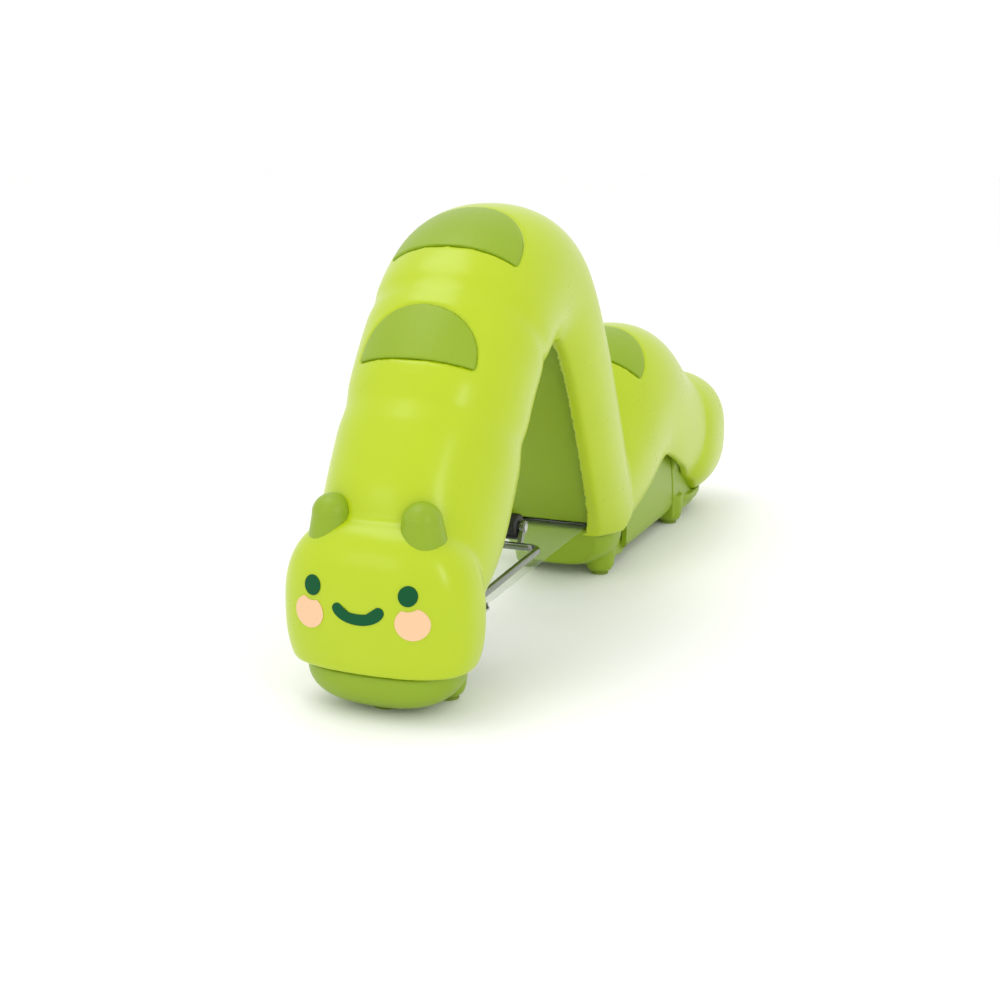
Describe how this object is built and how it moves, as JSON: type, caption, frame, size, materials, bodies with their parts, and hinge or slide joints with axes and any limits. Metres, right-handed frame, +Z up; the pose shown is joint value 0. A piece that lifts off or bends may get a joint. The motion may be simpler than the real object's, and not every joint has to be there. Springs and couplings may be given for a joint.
{
  "type": "tape dispenser",
  "caption": "Desk tape dispenser shaped as a smiling inchworm: the roll sits in the rear hump and the tape crosses the open arch to a toothed blade behind the head.",
  "frame": {"origin": "on the table plane under the middle of the overall box", "axes": "+Z up; -Y is the way the head looks, +Y towards the tail; +X is the worm's left side"},
  "size_m": [0.044, 0.2192, 0.0996],
  "materials": {
    "lime": "satin moulded plastic, bright yellow-green",
    "olive": "satin moulded plastic, olive green",
    "ink_print": "printed ink",
    "peach_print": "printed ink",
    "pad": "soft rubber",
    "weight": "plain turned steel",
    "steel": "bright drawn steel",
    "blade": "stamped stainless sheet",
    "hub": "plain moulded plastic",
    "core": "plain moulded plastic",
    "tape": "wound clear film",
    "film": "clear film",
    "roller": "black rubber, smooth"
  },
  "bodies": {
    "base": {"body_shell": "lime", "antenna_left": "olive", "antenna_right": "olive", "spot_top": "olive", "spot_neck": "olive", "spot_hump": "olive", "eye_prints": "ink_print", "mouth_print": "ink_print", "cheek_prints": "peach_print", "arch_liner": "olive", "head_foot": "olive", "middle_foot": "olive", "tail_foot": "olive", "foot_pads": "pad", "head_weight": "weight", "tail_weight": "weight", "axle_bracket": "olive", "bracket_screws": "steel", "hub_axle": "steel", "tape_strip": "film", "guide_pin": "steel", "door_pin": "steel", "cutter_blade": "blade", "cutter_screws": "steel", "arm_pin": "steel"},
    "roll": {"tape_hub": "hub", "tape_core": "core", "tape_roll": "tape"},
    "door": {"roll_door": "olive"},
    "arm": {"spring_arm": "steel", "roller_pin": "steel"},
    "roller": {"pressure_roller": "roller"}
  },
  "joints": [
    {"name": "roll_spin", "type": "hinge", "parent": "base", "child": "roll", "pos_m": [0, 0.0445, 0.03], "axis": [1, 0, 0], "continuous": true},
    {"name": "door_swing", "type": "hinge", "parent": "base", "child": "door", "pos_m": [0, 0.0217, 0.005], "axis": [-1, 0, 0], "range_deg": [0, 100]},
    {"name": "arm_lift", "type": "hinge", "parent": "base", "child": "arm", "pos_m": [0, -0.0825, 0.015], "axis": [1, 0, 0], "range_deg": [0, 25]},
    {"name": "roller_spin", "type": "hinge", "parent": "arm", "child": "roller", "pos_m": [0, -0.0325, 0.0226], "axis": [1, 0, 0], "continuous": true}
  ]
}
